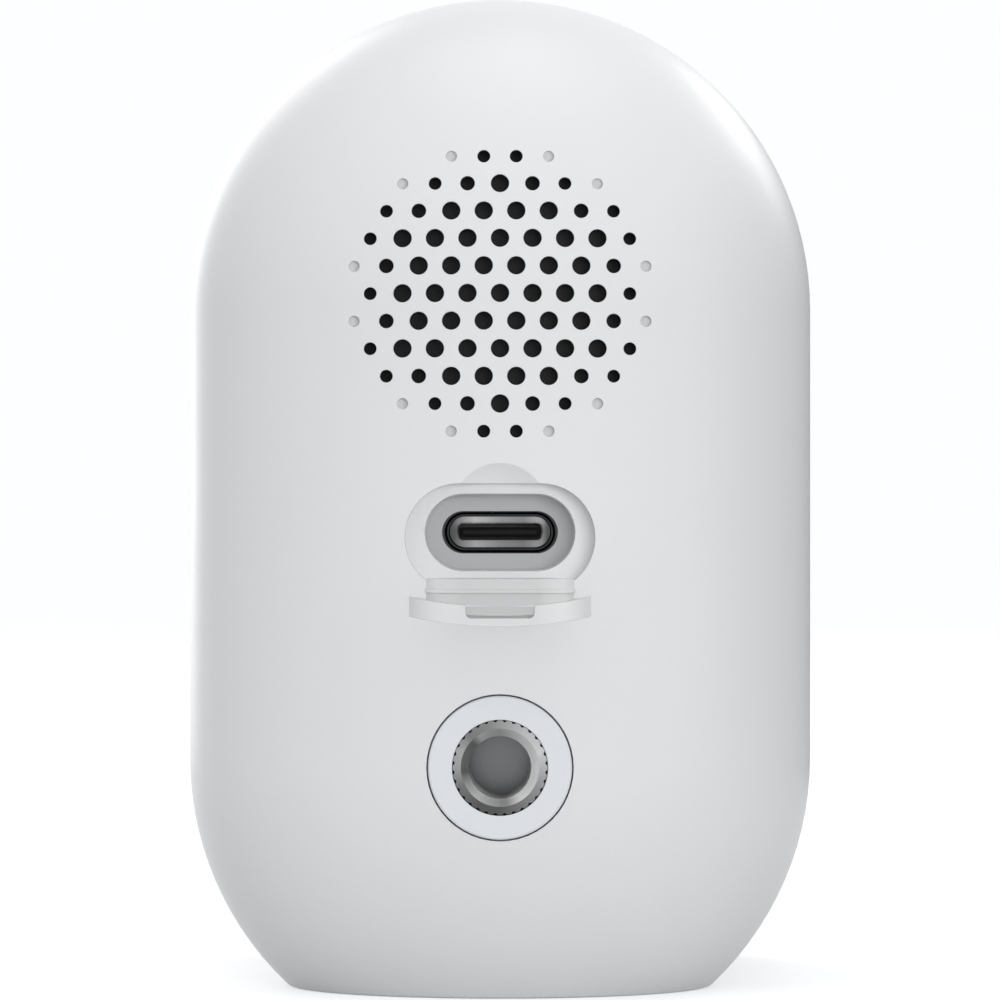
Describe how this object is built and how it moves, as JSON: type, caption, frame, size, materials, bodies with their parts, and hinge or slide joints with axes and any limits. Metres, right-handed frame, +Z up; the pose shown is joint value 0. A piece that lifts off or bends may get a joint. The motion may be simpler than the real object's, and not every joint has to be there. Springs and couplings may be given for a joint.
{
  "type": "wireless smart camera",
  "caption": "Palm-size upright white smart camera with a rear talk-back speaker grille, a flapped USB-C charging port and a threaded tripod insert",
  "frame": {"origin": "Centre of the flat base, on the surface it stands on", "axes": "+Z up, -Y the lens side (front), +Y the speaker grille, charging port and tripod insert (rear), +X to the object's left as seen from behind it"},
  "size_m": [0.0526, 0.0577, 0.0835],
  "materials": {
    "white_plastic": "white ABS/PC, fine satin moulding texture",
    "white_rubber": "soft white elastomer, satin",
    "grey_rubber": "soft grey elastomer, matt",
    "black_rubber": "soft black elastomer, matt",
    "black_window": "black polycarbonate, gloss",
    "black_plastic": "black moulded plastic, matt",
    "grey_plastic": "grey moulded plastic, matt",
    "milky_plastic": "milky polyethylene, satin",
    "clear_plastic": "clear acrylic, polished",
    "steel": "bright sheet steel",
    "zinc_steel": "zinc-plated steel",
    "satin_ring": "satin aluminium",
    "insert_steel": "turned stainless steel, conical machining sheen",
    "cell_wrap": "lithium cell under a plain blue sleeve",
    "nickel": "nickel strip",
    "gold": "gold-plated contact",
    "copper": "enamelled copper winding",
    "magnet": "nickel-plated neodymium magnet",
    "board_green": "glass-epoxy board with green mask",
    "board_black": "glass-epoxy board with black mask",
    "chip_black": "moulded epoxy package",
    "socket_white": "nylon connector body",
    "ribbon": "amber polyimide flat cable",
    "lead_red": "stranded lead in a soft sleeve",
    "cloth_mesh": "dark acoustic cloth",
    "paper_cone": "pressed fibre cone",
    "clear_glass": "coated optical glass",
    "filter_glass": "infrared filter glass, faint blue-green",
    "sensor_glass": "image sensor under its cover glass",
    "led_clear": "clear epoxy over an infrared emitter"
  },
  "bodies": {
    "housing": {"rear_housing": "white_plastic", "front_frame": "white_plastic", "housing_seal": "grey_rubber", "base_pad": "grey_rubber", "battery_cell_left": "cell_wrap", "battery_cell_right": "cell_wrap", "front_window": "black_window", "window_adhesive": "black_rubber", "housing_screws": "zinc_steel", "flap_web": "white_rubber", "flap_anchor": "white_rubber", "usb_shell": "steel", "usb_tongue": "black_plastic", "usb_contacts": "gold", "usb_seal": "black_rubber", "usb_board": "board_green", "usb_ribbon": "ribbon", "thread_insert": "insert_steel", "insert_ring": "satin_ring", "speaker_mesh": "cloth_mesh", "speaker_gasket": "black_rubber", "speaker_basket": "black_plastic", "speaker_surround": "black_rubber", "speaker_yoke": "steel", "speaker_magnet": "magnet", "speaker_clamp": "grey_plastic", "battery_tabs": "nickel", "protection_board": "board_green", "battery_clamps": "black_plastic", "battery_leads": "lead_red", "core_frame": "black_plastic", "main_board": "board_green", "processor_shield": "steel", "board_chips": "chip_black", "board_connectors": "socket_white", "wifi_module": "steel", "speaker_leads": "lead_red", "button_seal": "black_rubber", "switch_body": "chip_black", "sensor_board": "board_green", "image_sensor": "sensor_glass", "lens_holder": "black_plastic", "lens_barrel": "black_plastic", "lens_elements": "clear_glass", "lens_trim_ring": "black_plastic", "lens_cover_glass": "clear_glass", "led_board": "board_black", "ir_leds": "led_clear", "light_pipe": "clear_plastic", "mic_boot": "black_rubber", "pir_lens": "milky_plastic", "pir_sensor": "steel", "board_screws": "zinc_steel", "clamp_screws": "zinc_steel"},
    "port_flap": {"port_flap": "white_rubber"},
    "sync_button": {"sync_button": "grey_rubber"},
    "speaker_cone": {"speaker_cone": "paper_cone", "voice_coil": "copper"},
    "ir_filter": {"filter_slide": "black_plastic", "filter_glass": "filter_glass"}
  },
  "joints": [
    {"name": "flap_hinge", "type": "hinge", "parent": "housing", "child": "port_flap", "pos_m": [0, 0.02335, 0.03271], "axis": [1, 0, 0], "range_deg": [0, 90], "deforming": ["flap_web"]},
    {"name": "button_press", "type": "slide", "parent": "housing", "child": "sync_button", "axis": [0, 0, 1], "range_m": [0, 0.00035], "stiffness_N_per_m": 400},
    {"name": "cone_travel", "type": "slide", "parent": "housing", "child": "speaker_cone", "axis": [0, 1, 0], "range_m": [-0.0004, 0.0004], "stiffness_N_per_m": 1000},
    {"name": "filter_shift", "type": "slide", "parent": "housing", "child": "ir_filter", "axis": [-1, 0, 0], "range_m": [0, 0.0066]}
  ]
}
